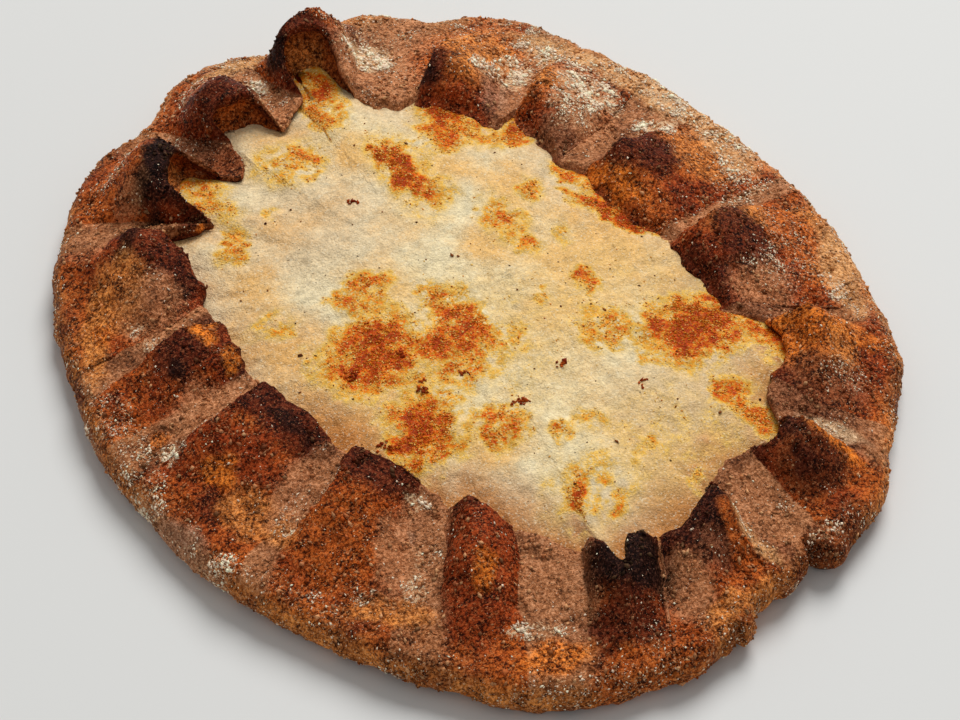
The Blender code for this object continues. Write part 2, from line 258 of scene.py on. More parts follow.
# Where flour clings to the crust: middle angle and radius, half lengths round and across the rim, density.
FLOUR_PATCHES = table(
    "angle radius round across density",
    (39.5, 36, 3.4, 6, 0.7), (39, 40, 4.5, 4, 1), (24, 39.5, 2.6, 3, 0.9), (8, 41.5, 5, 2, 0.8),
    (54, 41, 3, 4, 1), (20, 44, 12, 2.4, 0.85), (42, 46, 14, 3.5, 0.8), (58.5, 39.5, 1.8, 1.8, 1),
    (77.5, 45.5, 3.2, 3.2, 1), (96, 46, 1.6, 2, 0.9), (4, 39, 4, 4.5, 0.55), (342.5, 38, 4.5, 4.5, 0.6),
    (338.5, 44.5, 3, 2, 0.8), (308.5, 46, 1.4, 4.5, 0.7), (293, 52, 2, 1.6, 0.8),
    (285.2, 46.5, 0.8, 4, 0.7), (265.8, 52, 1.2, 4, 0.6), (251, 48, 4.5, 1.3, 0.9),
    (235, 41.5, 2, 2.4, 0.9), (236, 38, 1.8, 1.8, 0.7), (232, 30, 2, 1.4, 1), (228, 43, 1.4, 1.4, 0.7),
    (206.5, 45.5, 3, 1.8, 0.75), (211.5, 38.5, 0.8, 0.8, 1), (214.5, 33, 1, 6, 0.7),
    (186, 39.5, 2.2, 1.8, 0.9), (184.5, 34, 1.2, 6, 0.7), (157, 38, 1.2, 1.2, 0.9),
    (161, 37, 1.2, 1.2, 0.8), (122, 48, 7, 2.5, 0.6), (104, 50, 6, 2, 0.7), (256, 55, 16, 1.8, 0.5),
    (172, 47.5, 4, 1.8, 1), (190, 45, 3, 1.6, 0.85), (199, 45, 2.5, 1.5, 0.6), (210, 36, 2, 4, 0.6),
    (345, 40, 8, 4, 0.55), (318, 45, 3, 3, 0.6), (215, 46, 14, 2.6, 0.5), (178, 43, 14, 3, 0.65),
    (200, 47, 16, 2, 0.55),
)

# Toasted places on the filling: middle, half length and half width, direction, and how brown.
TOASTS = table(
    "x y long short turn amount",
    (3.2, 23, 4.8, 1.6, 93, 0.8), (2.7, 25.6, 1.5, 1, 80, 0.3), (3.3, 20.6, 1.6, 1, 84, 0.25),
    (3.8, 22.3, 7.5, 3.6, 92, 0.3), (-7.7, 31, 4, 3.4, 0, 0.4), (-6, 27.7, 1, 0.8, 70, 0.4),
    (1.5, 40.9, 2.5, 1.1, 64, 0.6), (-1.2, 36.8, 2.2, 1, 64, 0.55), (12.6, 27, 4.4, 3.6, 165, 0.75),
    (19.2, 22.8, 3.4, 1.8, 0, 0.55), (19.7, 9.2, 2, 1.1, 105, 0.5), (23.8, 3.8, 4.8, 1.5, 124, 0.8),
    (10.4, 9.1, 5, 2.1, 96, 0.5), (15.8, 12.7, 2.4, 1.5, 35, 0.3), (-19.7, 21.4, 2.5, 1.5, 66, 0.7),
    (-22.2, 20.5, 1.3, 1.1, 120, 0.4), (-13.9, 23.9, 1.5, 1.4, 80, 0.3), (13.9, -3.8, 2.1, 1.4, 76, 0.5),
    (8.6, -3.8, 1, 0.8, 60, 0.35), (16, 4.6, 2, 1.2, 60, 0.2), (-10.3, 6.4, 3.3, 2, 5, 0.65),
    (-7.3, 7.2, 1.2, 1.1, 70, 0.3), (-2.2, 3, 1.6, 1.4, 150, 0.5), (-12.9, -2.7, 6.2, 4.4, 64, 0.8),
    (-14.3, -1.5, 4.2, 2.8, 78, 0.25), (-3.6, -4.7, 6.1, 3.8, 75, 0.75), (1.6, -7.3, 2.5, 1.9, 150, 0.35),
    (-19.2, -1.2, 3, 1.7, 80, 0.35), (-21.4, 7.1, 2.8, 1.7, 168, 0.3), (-13.2, -15.8, 5.1, 3.8, 64, 0.75),
    (-13.8, -14.4, 4, 2.6, 72, 0.35), (-17.1, -18.5, 2.3, 1.6, 64, 0.3), (-5.8, -19.5, 3, 2.7, 60, 0.6),
    (22.1, -16.2, 5.4, 4.3, 34, 0.85), (22, -16.5, 4, 3.2, 55, 0.35), (18.1, -13.4, 2.9, 2, 18, 0.3),
    (12.7, -11.9, 3.3, 2.8, 155, 0.35), (30.3, -21.3, 4, 2.3, 154, 0.65), (20.8, -27.1, 3.1, 1.9, 97, 0.65),
    (22.1, -33.3, 2.8, 1.8, 105, 0.6), (-2.7, -33, 2.9, 1, 60, 0.6), (1.4, -36, 0.9, 0.9, 0, 0.35),
    (10.8, -35.5, 1.5, 0.8, 58, 0.5), (0.1, -23.3, 1.6, 1.3, 155, 0.3), (3.7, -22.5, 1.8, 1.8, 0, 0.2),
    (7.6, -29.4, 1.3, 1, 155, 0.25), (15.3, -17.6, 1.5, 1.2, 160, 0.4), (-1.3, -32.6, 4.5, 4.3, 170, 0.2),
    (-2.9, -7.2, 12.5, 12.5, 0, 0.1), (14.5, 31, 4, 2.6, 150, 0.6), (20, 25, 4, 1.8, 130, 0.45),
    (25.5, 5.5, 6.5, 2.6, 118, 0.5), (22, 13.5, 2.5, 1.4, 120, 0.4), (1.2, 43, 4.5, 2.8, 80, 0.6),
    (0.5, 37, 4.5, 2.2, 70, 0.3), (20, -10, 14, 9, 110, 0.06), (12, -29, 15, 8, 0, 0.09),
    (-19.6, 32.6, 3.6, 2.8, 110, 0.55), (30.5, -24, 5, 2.6, 60, 0.4), (-18.5, 27.5, 2.5, 1.6, 100, 0.3),
    (29, -14.5, 5, 2.5, 100, 0.4),
)

# Dark flakes of bran on the filling: place and length.
BRAN_FLAKES = table(
    "x y length",
    (2, 6.7, 0.6), (2.6, 6.2, 0.4), (13.7, -9.4, 0.6), (20.5, -10.2, 0.45), (9.4, -6.6, 0.35),
    (12.1, -25.1, 0.35), (13.7, -25.9, 0.3), (17.8, -29, 0.6), (23.3, -28.8, 0.5), (5.1, -27.3, 0.6),
    (9.3, -32.3, 0.35), (-2, -30.6, 0.5), (-11.1, 23.6, 0.6), (6.2, 26.9, 0.5), (0.3, 29.2, 0.45),
    (0.9, 13.8, 0.4), (-20.6, 1.3, 0.6), (-15, 22.5, 0.5), (-23, -3.5, 0.45), (-9, 8.8, 0.35),
    (22, 7.5, 0.5),
)

# Clusters of small rust-brown crumbs baked into the filling: middle and size.
CRUMB_CLUSTERS = table(
    "x y size",
    (-2.1, -17, 1), (-1.2, -17.6, 0.7), (-10.6, -10.3, 0.9), (-10, -9.3, 0.6), (-18.1, -14.9, 0.9),
    (-17.6, -15.9, 0.6), (-5.5, -10.7, 0.6), (-16.5, -4.2, 1), (-10.4, -4, 0.8), (12.3, -21, 0.7),
    (-4.3, 20.4, 0.6), (5, -14.5, 0.6),
)


# ---- numbers


def smooth(share):
    """Eases from 0 to 1 with a level start and end."""
    share = np.clip(share, 0, 1)
    return share * share * (3 - 2 * share)


def mix(a, b, share):
    return a + (b - a) * share


def weight(values):
    """Values held between 0 and 1, shaped to mix colours with."""
    return np.clip(values, 0, 1)[..., None]


def lattice(cell, seed):
    """A fixed value from -1 to 1 for each whole-numbered cell."""
    x, y, z = (cell[..., k].astype(np.int64) for k in range(3))
    n = (x * 73856093) ^ (y * 19349663) ^ (z * 83492791) ^ (seed * 2654435761)
    n = (n ^ (n >> 13)) * 1274126177 & 0x7FFFFFFF
    n = (n ^ (n >> 15)) * 2246822519 & 0x7FFFFFFF
    return (n & 0xFFFF) / 32767.5 - 1


def noise(points, size, seed):
    """Smooth lumps from -1 to 1, about this many millimetres apart."""
    spread = points / size
    cell = np.floor(spread)
    part = smooth(spread - cell)
    total = 0
    for corner in np.ndindex(2, 2, 2):
        nearness = np.prod(np.where(np.array(corner) == 1, part, 1 - part), axis=-1)
        total = total + nearness * lattice(cell + corner, seed)
    return total


def layered(points, layers):
    """The sum of layers of noise."""
    return sum(amount * noise(points, size, seed) for amount, size, seed in layers)


def strayed(points, layers):
    """How far layers of noise push each point about on the plan."""
    pushes = [
        amount * np.stack([noise(points, size, seed), noise(points, size, seed + 1)], axis=-1)
        for amount, size, seed in layers
    ]
    return sum(pushes)


def angle_from(angle, middle):
    """How many degrees past the middle an angle is, from -180 to 180."""
    return (np.asarray(angle) - middle + 180) % 360 - 180


def angle_of(plan):
    return np.degrees(np.arctan2(plan[..., 1], plan[..., 0]))


def sector(angle, middle, before, after, fade):
    """1 inside a part of the round and 0 outside it."""
    past = angle_from(angle, middle)
    return smooth((past + before) / fade) * smooth((after - past) / fade)


def swell_at(angle, swell):
    return swell.amount * np.exp(-((angle_from(angle, swell.angle) / swell.half_width) ** 2))


def polar(radius, angle):
    turn = np.radians(angle)
    return np.stack([radius * np.cos(turn), radius * np.sin(turn)], axis=1)


def lifted(plan, height):
    return np.column_stack([plan, np.broadcast_to(height, len(plan))])


def scaled(ring, share, height):
    """The ring shrunk towards the pasty's middle, at this height: one for all points, or one for each."""
    return lifted(ring[:, :2] * share, height)


# ---- the rim


def outline_radius(angle):
    """Radius of the outer fold's widest line."""
    turn = np.radians(angle)
    radius = 1 / np.hypot(np.cos(turn) / (WIDTH / 2), np.sin(turn) / (LENGTH / 2))
    for swell in OUTLINE_SWELLS:
        radius = radius + swell_at(angle, swell)
    fade = 0.5
    past = np.asarray(angle) % 360
    for flap in OUTLINE_FLAPS:
        edges = smooth((past - flap.start) / fade) * smooth((flap.end - past) / fade)
        radius = radius + flap.amount * edges
    return radius


def crowded(share, crest):
    """Moves a pleat's columns closer together on its steep side."""
    if crest > 0.5:
        return 1 - crowded(1 - share, 1 - crest)
    crowd = max(crest, STEEP_SIDE_COLUMNS)
    beyond = crest + (share - crowd) / (1 - crowd) * (1 - crest)
    return np.where(share < crowd, share / crowd * crest, beyond)


def pleat_columns(k, pleat, count):
    step = np.arange(count) / count
    if pleat.hooded:
        side = np.sin(0.5 * np.pi * (2 * step - 1))
        share = (side + 1) / 2
        across = 1 + side
        drawn_back = 1 - np.abs(side) ** 6
    else:
        share = crowded(step, pleat.crest)
        before = share / pleat.crest
        beyond = 1 + (share - pleat.crest) / (1 - pleat.crest)
        across = np.where(share < pleat.crest, before, beyond)
        drawn_back = smooth(share / 0.3) * smooth((1 - share) / 0.3)
    if pleat.crest > 0.5:
        across = 2 - across
    angle = mix(pleat.start, pleat.end, share)
    foot_angle = mix(pleat.start_foot, pleat.end_foot, share)
    reach = mix(pleat.start_reach, pleat.end_reach, share) + pleat.mouth * drawn_back
    lean = np.full(count, np.clip((pleat.crest - 0.5) / 0.3, -1, 1))
    return np.array([angle, foot_angle, reach, np.maximum(across, 1e-6), lean, np.full(count, k)])


def valley_columns(k, pleat, after, turn, count):
    share = np.arange(count) / count
    angle = mix(pleat.end, after.start + turn, share)
    foot_angle = mix(pleat.end_foot, after.start_foot + turn, share)
    reach = mix(pleat.end_reach, after.start_reach, share) - pleat.tongue * np.sin(np.pi * share)
    return np.array([angle, foot_angle, reach, np.zeros(count), np.zeros(count), np.full(count, k)])


def rim_columns(total):
    """The rim's columns: angle at the filling and at the fold, reach, across, lean and pleat's number."""
    parts = []
    for k, pleat in enumerate(PLEATS):
        after = PLEATS[(k + 1) % len(PLEATS)]
        turn = 360 if k == len(PLEATS) - 1 else 0
        parts.append(pleat_columns(k, pleat, round(total * (pleat.end - pleat.start) / 360)))
        count = round(total * (after.start + turn - pleat.end) / 360)
        parts.append(valley_columns(k, pleat, after, turn, max(count, FEWEST_VALLEY_COLUMNS)))
    return np.concatenate(parts, axis=1)


class Rim:
    """The crimped rim as rings of points, one point for each column. across is where a column lies on its
    pleat, from 0 at its steep side's foot through 1 on its crest to 2 at its slope's foot, and 0 in a
    valley."""

    def __init__(self, total):
        self.angle, self.foot_angle, self.reach, self.across, self.lean, numbers = rim_columns(total)
        pleats = [PLEATS[int(k)] for k in numbers]
        fields = [(p.rise, p.bend, p.nose, p.mouth, p.climb, p.hooded) for p in pleats]
        self.rise, self.bend, self.nose, mouth, climb, hooded = np.array(fields, dtype=float).T
        self.count = len(self.angle)
        self.in_valley = self.across == 0
        self.open = (hooded > 0) & ~self.in_valley
        aside = np.abs(self.across - 1)
        self.scoop = np.where(self.open, mouth * (1 - aside**6), 0)
        self.climb = np.where(self.open, climb * smooth((1 - aside) / 0.7), 0)
        self.floor = sum(swell_at(self.angle, swell) for swell in SHALLOWS)
        self.far = sector(self.angle, *FAR_LIP_SECTOR)
        self.outer = polar(outline_radius(self.foot_angle), self.foot_angle)
        self.inner = polar(self.reach + self.ragged(), self.angle)
        self.width = np.linalg.norm(self.inner - self.outer, axis=1)
        self.inward = (self.inner - self.outer) / self.width[:, None]
        turn = np.radians(self.angle)
        self.around = np.stack([-np.sin(turn), np.cos(turn)], axis=1)

    def ragged(self):
        """How far out of line the lip's torn edge is."""
        ragged = layered(lifted(polar(self.reach, self.angle), 0), LIP_RAGS)
        for nick in LIP_NICKS:
            ragged = ragged + swell_at(self.angle, nick)
        return ragged

    def tuck(self):
        """How far back the lip's underside runs inside the dough."""
        return np.minimum(TUCK, NARROW_TUCK * (self.width - FOLD_INSET))

    def lift(self, share):
        """Each column's share of its pleat's height, this far (0 to 1) from the outer fold to the filling.
        A pleat is steep on one side, its slope is fuller near the filling, and a hooded one is an arch."""
        steep = np.sin(0.5 * np.pi * np.clip(self.across, 0, 1)) ** 0.8
        fullness = mix(1.1, 2.6, smooth(share))
        gentle = (1 - np.clip(self.across - 1, 0, 1) ** fullness) ** 1.15
        side = np.clip(np.abs(self.across - 1), 0, 1)
        arch = 0.62 * (1 - side**6) ** 0.6 + 0.38 * (1 - side**2)
        profile = np.where(self.open, arch, np.where(self.across < 1, steep, gentle))
        profile = np.where(self.in_valley, 0, profile)
        along = smooth((share + 0.04) / 0.8)
        drop = 1 - self.nose * smooth((share - 0.7) / 0.34)
        return mix(profile, 1, self.floor) * along * drop

    def height(self, share):
        """Height of the rim's top, this far (0 to 1) from the outer fold to the lip."""
        share = np.broadcast_to(share, self.count)
        lift = self.lift(share)
        height = FOLD_TOP + (VALLEY_HEIGHT - FOLD_TOP) * (1 - (1 - share) ** 2)
        height = height - VALLEY_SAG * np.sin(np.pi * share) * (1 - lift) + self.rise * lift
        from_lip = (1 - share) * self.width
        return height - FAR_SINK * self.far * smooth(1 - from_lip / FAR_SINK_WIDTH)

    def plan(self, share):
        """Points on the plan, this share of the way from the outline to the lip."""
        share = np.broadcast_to(share, self.count)
        points = self.outer + (self.inner - self.outer) * share[:, None]
        turn = np.radians(self.bend * np.sin(np.pi * np.clip(share, 0, 1)) * ~self.in_valley)
        x, y = points[:, 0], points[:, 1]
        cos, sin = np.cos(turn), np.sin(turn)
        points = np.stack([x * cos - y * sin, x * sin + y * cos], axis=1)
        return points + self.around * layered(lifted(points, 0), RIM_SWAY)[:, None]

    def fold(self, angle):
        """A ring on the outer fold. 0 is its widest line, -90 its foot and 90 its top."""
        turn = math.radians(angle)
        half = FOLD_MIDDLE if angle < 0 else FOLD_TOP - FOLD_MIDDLE
        share = FOLD_INSET * (1 - math.cos(turn)) / self.width
        return lifted(self.plan(share), FOLD_MIDDLE + half * math.sin(turn))

    def top(self, share):
        """A ring on the rim's top, from the fold (0) to the lip (1)."""
        start = FOLD_INSET / self.width
        points = self.plan(start + (1 - start) * share)
        points = points + self.around * (OVERLAP * self.lean * self.lift(share) ** 2)[:, None]
        return lifted(points, self.height(share))

    def lip_top(self):
        return self.height(1)

    def lip_underside(self):
        """Height of the lip's underside: it follows the top in open pleats and hangs lower in others."""
        lift = self.lift(1)
        follow = np.where(self.open, 1, 0.3)
        thickness = mix(VALLEY_LIP, PLEAT_LIP, smooth(lift * 3)) + FAR_THICKNESS * self.far
        return self.lip_top() - thickness - (1 - follow) * self.rise * lift

    def lip(self, inset, height):
        """A ring at the lip, this far in beyond the edge of its sheet."""
        inset = np.reshape(np.broadcast_to(inset, self.count), (-1, 1))
        return lifted(self.top(1)[:, :2] + self.inward * inset, height)

    def under(self, share, underside):
        """A ring on the lip's underside, this share of the way along it. It runs out from the lip, inside
        the dough, and in a hooded pleat it runs in and down to the filling instead."""
        depth = self.tuck()
        top = self.height(np.clip(1 - depth * share / (self.width - FOLD_INSET), 0, 1))
        height = np.minimum(underside, top - DOUGH_OVER_TUCK)
        back = 0.7 * math.sin(math.pi * min(share / 0.5, 1))
        scoop = self.scoop * smooth((share - 0.1) / 0.9) ** 0.8 - back
        scoop_height = mix(underside, FILLING_EDGE - 0.6, smooth(share / 0.6))
        inset = np.where(self.open, scoop, -depth * share)
        return self.lip(inset, np.where(self.open, scoop_height, height))


# ---- meshes


def grid_normals(rings):
    """Outward unit normals of a stack of closed rings."""
    along = np.roll(rings, -1, axis=1) - np.roll(rings, 1, axis=1)
    up = np.gradient(rings, axis=0)
    normals = np.cross(along, up)
    return normals / np.maximum(np.linalg.norm(normals, axis=2, keepdims=True), 1e-9)


def new_object(name, data):
    made = bpy.data.objects.new(name, data)
    bpy.context.scene.collection.objects.link(made)
    return made


def mesh_object(name, points, face_groups):
    """A smooth-shaded mesh object from points in metres and arrays of faces, each of one face size."""
    mesh = bpy.data.meshes.new(name)
    corners = np.concatenate([faces.ravel() for faces in face_groups])
    sizes = np.concatenate([np.full(len(faces), faces.shape[1]) for faces in face_groups])
    mesh.vertices.add(len(points))
    mesh.vertices.foreach_set("co", np.asarray(points, dtype=np.float32).ravel())
    mesh.loops.add(len(corners))
    mesh.loops.foreach_set("vertex_index", corners.astype(np.int32))
    mesh.polygons.add(len(sizes))
    mesh.polygons.foreach_set("loop_start", (np.cumsum(sizes) - sizes).astype(np.int32))
    mesh.polygons.foreach_set("loop_total", sizes.astype(np.int32))
    mesh.update(calc_edges=True)
    mesh.validate()
    mesh.shade_smooth()
    return new_object(name, mesh)


def closed_mesh(name, rings, first_centre, last_centre):
    """A closed mesh object through rings of points in millimetres, closed at each end with a fan."""
    rows, count, _ = rings.shape
    points = np.concatenate([rings.reshape(-1, 3), [first_centre, last_centre]])
    index = np.arange(rows * count).reshape(rows, count)
    after = np.roll(index, -1, axis=1)
    quads = np.stack([index[:-1], after[:-1], after[1:], index[1:]], axis=-1).reshape(-1, 4)
    first = np.stack([np.full(count, rows * count), after[0], index[0]], axis=-1)
    last = np.stack([np.full(count, rows * count + 1), index[-1], after[-1]], axis=-1)
    return mesh_object(name, points * MM, (quads, first, last))


def crust_rings(rim):
    """The crust's rings, from the middle of its underside over the rim to its floor."""
    foot = scaled(rim.fold(-90), 1, 0)
    rings = [scaled(foot, 0.4, 0), scaled(foot, 0.8, 0), foot]
    rings += [rim.fold(angle) for angle in FOLD_ANGLES]
    rings += [rim.top(share) for share in np.linspace(0, 1, TOP_ROWS)]
    top, under = rim.lip_top(), rim.lip_underside()
    radius = (top - under) / 2
    for turn in np.radians(LIP_TURNS):
        inset = np.minimum(radius, LIP_ROUNDING) * math.sin(turn)
        rings.append(rim.lip(inset, top - radius + radius * math.cos(turn)))
    rings += [rim.under(share, under) for share in UNDER_STEPS]
    wall = scaled(rings[-1], 1, BASE_THICKNESS)
    rings += [wall, scaled(wall, 0.5, BASE_THICKNESS)]
    return np.array(rings)


def roughened(rings):
    """The crust's rings with the dough's lumps and its coarse grain, and none of it below the ground."""
    rows = slice(FIRST_SURFACE_ROW, len(rings) - FLOOR_ROWS)
    made = rings.copy()
    made[rows] += grid_normals(rings)[rows] * layered(rings[rows], DOUGH_LUMPS)[..., None]
    made[..., 2] = np.maximum(made[..., 2], 0)
    return made


def make_crust(rim):
    rings = roughened(crust_rings(rim))
    return closed_mesh("crust_surface", rings, (0, 0, 0), (0, 0, BASE_THICKNESS)), rings


def resampled(ring, count):
    """The ring's points again, at even angles round the pasty."""
    angle = np.unwrap(np.arctan2(ring[:, 1], ring[:, 0]))
    angle = np.maximum.accumulate(angle) + 1e-7 * np.arange(len(angle))
    even = angle[0] + np.arange(count) * 2 * np.pi / count
    radius = np.interp(even, angle, np.linalg.norm(ring[:, :2], axis=1), period=2 * np.pi)
    height = np.interp(even, angle, ring[:, 2], period=2 * np.pi)
    return np.stack([radius * np.cos(even), radius * np.sin(even), height], axis=1)


def filling_edge(rim):
    """The filling's ring hidden under the lip, and the ring at its visible edge."""
    under = np.minimum(rim.lip_underside() - GAP, FILLING_EDGE)
    under = mix(under, FILLING_EDGE, np.maximum(rim.far, rim.open)) + rim.climb
    hidden = np.where(rim.open, rim.scoop + GAP, GAP - rim.tuck())
    mouth_edge = (0.5 - 0.3 * rim.climb) * rim.scoop - 0.3
    visible = np.where(rim.open, mouth_edge, mix(0.5, -0.9, rim.far))
    return resampled(rim.lip(hidden, under - 0.2), rim.count), resampled(rim.lip(visible, under), rim.count)


def make_filling(rim):
    """The filling as rings from its underside over its edge to the middle of its dome."""
    floor = BASE_THICKNESS + GAP
    tucked, edge = filling_edge(rim)
    rings = [scaled(tucked, 0.5, floor), scaled(tucked, 1, floor), tucked, edge]
    radius = np.linalg.norm(edge[:, :2], axis=1)
    for share in np.linspace(1, 0.02, FILLING_ROWS)[1:]:
        dome = FILLING_EDGE + FILLING_DOME * (1 - share**3.2)
        near_lip = (1 - smooth((1 - share) * radius / EDGE_FADE)) ** 1.5
        rings.append(scaled(edge, share, dome + (edge[:, 2] - FILLING_EDGE) * near_lip))
    rings = np.array(rings)
    height = rings[EDGE_ROW:, :, 2]
    flat = rings[EDGE_ROW:] * [1, 1, 0]
    height += layered(flat, FILLING_LUMPS)
    for dip in FILLING_DIPS:
        away = np.hypot(flat[..., 0] - dip.x, flat[..., 1] - dip.y) / dip.size
        height -= dip.depth * np.exp(-(away**2))
    return closed_mesh("filling_surface", rings, (0, 0, floor), (0, 0, rings[-1, :, 2].mean())), rings


# ---- colours


def srgb(red, green, blue):
    """A colour in the shader's linear values, from display values of 0 to 255."""
    parts = np.array([red, green, blue]) / 255
    return np.where(parts <= 0.04045, parts / 12.92, ((parts + 0.055) / 1.055) ** 2.4)


def opaque(red, green, blue):
    """The same with an alpha of 1, as a node's colour is."""
    return (*srgb(red, green, blue), 1)


COLOURS = {
    "mauve": srgb(192, 122, 76),
    "mauve_dark": srgb(122, 66, 38),
    "grey": srgb(176, 128, 96),
    "tan": srgb(224, 160, 98),
    "cream": srgb(234, 194, 144),
    "orange": srgb(216, 110, 30),
    "orange_tan": srgb(212, 124, 54),
    "orange_brown": srgb(176, 80, 25),
    "rust": srgb(142, 52, 17),
    "brown": srgb(118, 52, 20),
    "dark": srgb(88, 31, 12),
    "char": srgb(32, 11, 6),
    "golden": srgb(220, 142, 66),
}


def brightness(colour):
    return np.dot(colour, [0.3, 0.5, 0.2])


def spots(plan, entries):
    """Pairs of an entry of a table of places on the crust and how strongly it covers each point."""
    soft_edge = 0.62
    place = np.concatenate([plan, np.zeros(plan.shape[:-1] + (1,))], axis=-1)
    stray = strayed(place, CRUST_STRAY)
    for entry in entries:
        turn = math.radians(entry.angle)
        outward = np.array([math.cos(turn), math.sin(turn)])
        off = plan + stray - outward * entry.radius
        away = np.hypot(off @ [-outward[1], outward[0]] / entry.round, off @ outward / entry.across)
        yield entry, 1 - smooth((away - soft_edge) / soft_edge)


class CrustPlaces:
    """What the crust's look depends on, at each point of its rings."""

    def __init__(self, rim, rings):
        self.rings = rings
        self.plan = rings[..., :2]
        self.radius = np.linalg.norm(self.plan, axis=-1)
        self.lumps = noise(rings, 3.5, 41)
        self.dapple = noise(rings, 1.4, 42)
        self.far = sector(angle_of(self.plan), *FAR_LOOK_SECTOR)
        self.wall = smooth((5.6 + 0.8 * self.lumps - rings[..., 2]) / 2.2)
        self.near_lip = smooth(1 - (self.radius - rim.reach) / 8)
        self.on_pleat = np.broadcast_to(~rim.in_valley | (rim.floor > 0.3), self.radius.shape)
        self.above_crease = smooth(np.maximum(rim.across, 2 * rim.floor) / 0.45)
        self.climb = rim.climb

    def tone(self, base, lumps, dapple):
        """How dark the toasting is, from 0 to 1, with these shares of its unevenness."""
        return weight(base + lumps * self.lumps + dapple * self.dapple)


def pleat_colour(at):
    tone = at.tone(0.35 + 0.5 * at.near_lip, 0.35, 0.2)
    colour = mix(COLOURS["orange_brown"], COLOURS["rust"], smooth(tone * 1.6))
    return mix(colour, COLOURS["dark"], smooth(tone * 2 - 1))


def valley_colour(at):
    return mix(COLOURS["mauve"], COLOURS["mauve_dark"], at.tone(0.4, 0.5, 0.3))


def wall_colour(at):
    """The outer wall's colour, paler on the far side."""
    tone = at.tone(0.5, 0.6, 0.4)
    near = mix(COLOURS["orange_tan"], COLOURS["brown"], tone)
    far = mix(COLOURS["tan"], COLOURS["orange_tan"], tone)
    return mix(near, far, at.far[..., None])


def inside_colour(at):
    """The colour of the rows behind the lip: dark, with golden insides in the hooded pleats."""
    depth = np.linspace(0, 1, len(at.rings) - LIP_ROW)[:, None]
    lumps, dapple = at.lumps[LIP_ROW:], at.dapple[LIP_ROW:]
    colour = mix(COLOURS["dark"], COLOURS["orange_brown"], weight(1.5 * depth + 0.5 * lumps + 0.3 * dapple))
    golden = smooth(1.6 * depth - 0.35 + 0.25 * lumps) * smooth((at.climb - 0.35) / 0.3)
    return mix(colour, COLOURS["golden"], 0.85 * golden[..., None])


def crust_colour(at):
    colour = mix(valley_colour(at), pleat_colour(at), (at.on_pleat * at.above_crease)[..., None])
    colour = mix(colour, wall_colour(at), at.wall[..., None])
    for patch, cover in spots(at.plan, CRUST_PATCHES):
        if patch.on == "p":
            cover = cover * at.on_pleat
        if patch.on == "v":
            cover = cover * ~at.on_pleat
        colour = mix(colour, COLOURS[patch.colour], (cover * patch.strength)[..., None])
    colour[LIP_ROW:] = inside_colour(at)
    return colour


def crust_flour(at, colour):
    """Density of flour: most on the far side and low on the wall, least on scorched and on inner places."""
    flour = 0.1 + 0.22 * at.wall + 0.3 * at.far * smooth((at.radius - 34) / 10)
    flour = flour + 0.14 * noise(at.rings, 6, 43)
    for patch, cover in spots(at.plan, FLOUR_PATCHES):
        flour = np.maximum(flour, cover * patch.density * mix(0.75, 1, at.far))
    bright = smooth((brightness(colour) - 0.02) / 0.05)
    flour = np.clip(flour, 0, 1) * mix(0.22, 1, bright) * (1 - 0.2 * at.far * at.on_pleat)
    flour[LIP_ROW:] = 0.05
    return flour


def crust_look(rim, rings):
    """The crust's colour at each point of its rings, its density of flour, and how calm its colour is, from
    0 where it is blotched with toasting to 1 where it stayed pale."""
    at = CrustPlaces(rim, rings)
    colour = crust_colour(at)
    calm = smooth((colour[..., 1] / colour[..., 0] - 0.24) / 0.12)
    return colour, crust_flour(at, colour), calm


def toasting(place):
    """How brown the filling is at each point, from 0 to 1."""
    plan = place[..., :2]
    stray = strayed(place, TOAST_STRAY)
    brown = np.zeros(plan.shape[:-1])
    for toast in TOASTS:
        turn = math.radians(toast.turn)
        along = np.array([math.cos(turn), math.sin(turn)])
        off = plan + stray - [toast.x, toast.y]
        away = np.hypot(off @ along / toast.long, off @ [-along[1], along[0]] / toast.short)
        brown = brown + 0.9 * toast.amount * (1 - smooth((away - 0.25) / 1.35))
    ragged = 0.3 * noise(place, 1.5, 55) + 0.2 * noise(place, 0.6, 56)
    return np.clip(brown + ragged * smooth(brown * 3), 0, 1)


def painted_lip_shade(place):
    """Painted shade by how deep each point lies in the lip's shelter, most on the near side, from 0 to 1."""
    plan = place[..., :2]
    angle = angle_of(plan)
    inward = np.linalg.norm(plan[EDGE_ROW], axis=-1) - np.linalg.norm(plan, axis=-1)
    near_side = np.maximum(sector(angle, *NEAR_LOOK_SECTOR), 0.35 * sector(angle, *LEFT_LOOK_SECTOR))
    # Painted shade: darker near the lip, most on the near side.
    painted_shade = near_side * smooth(1 - (inward + 1.6 * noise(place, 3, 58)) / 12)
    painted_shade = np.maximum(painted_shade, 0.25 * smooth(1 - inward / 12))
    uneven = 1.5 * noise(place, 4, 59)
    # Painted shade over the given places of the filling.
    for shaded_place in PAINTED_SHADE_PLACES:
        away = np.hypot(plan[..., 0] - shaded_place.x, plan[..., 1] - shaded_place.y) + uneven
        painted_shade = np.maximum(painted_shade, shaded_place.amount * smooth(1.3 - away / shaded_place.size))
    painted_shade[:EDGE_ROW] = 0.8
    return painted_shade


def filling_look(rings):
    """How brown the filling is at each point of its rings, how warm its pale parts are, and how much shade
    is painted on it by how deep it lies in the shelter of the lip, each from 0 to 1."""
    place = rings * [1, 1, 0]
    return toasting(place), 0.5 + 0.5 * noise(place, 7, 57), painted_lip_shade(place)


def store(piece, name, values):
    """Stores one number or one colour for each of a piece's points."""
    kind, field = "FLOAT", "value"
    if values.ndim == 2:
        kind, field = "FLOAT_COLOR", "color"
        values = np.column_stack([values, np.ones(len(values))])
    attribute = piece.data.attributes.new(name, kind, "POINT")
    attribute.data.foreach_set(field, values.astype(np.float32).ravel())


def set_attribute(piece, name, values, last):
    """Stores one number or colour for each of a closed mesh's points. last is that of its end points."""
    flat = values.reshape(-1, *values.shape[2:])
    store(piece, name, np.concatenate([flat, [last, last]]))


# ---- grains


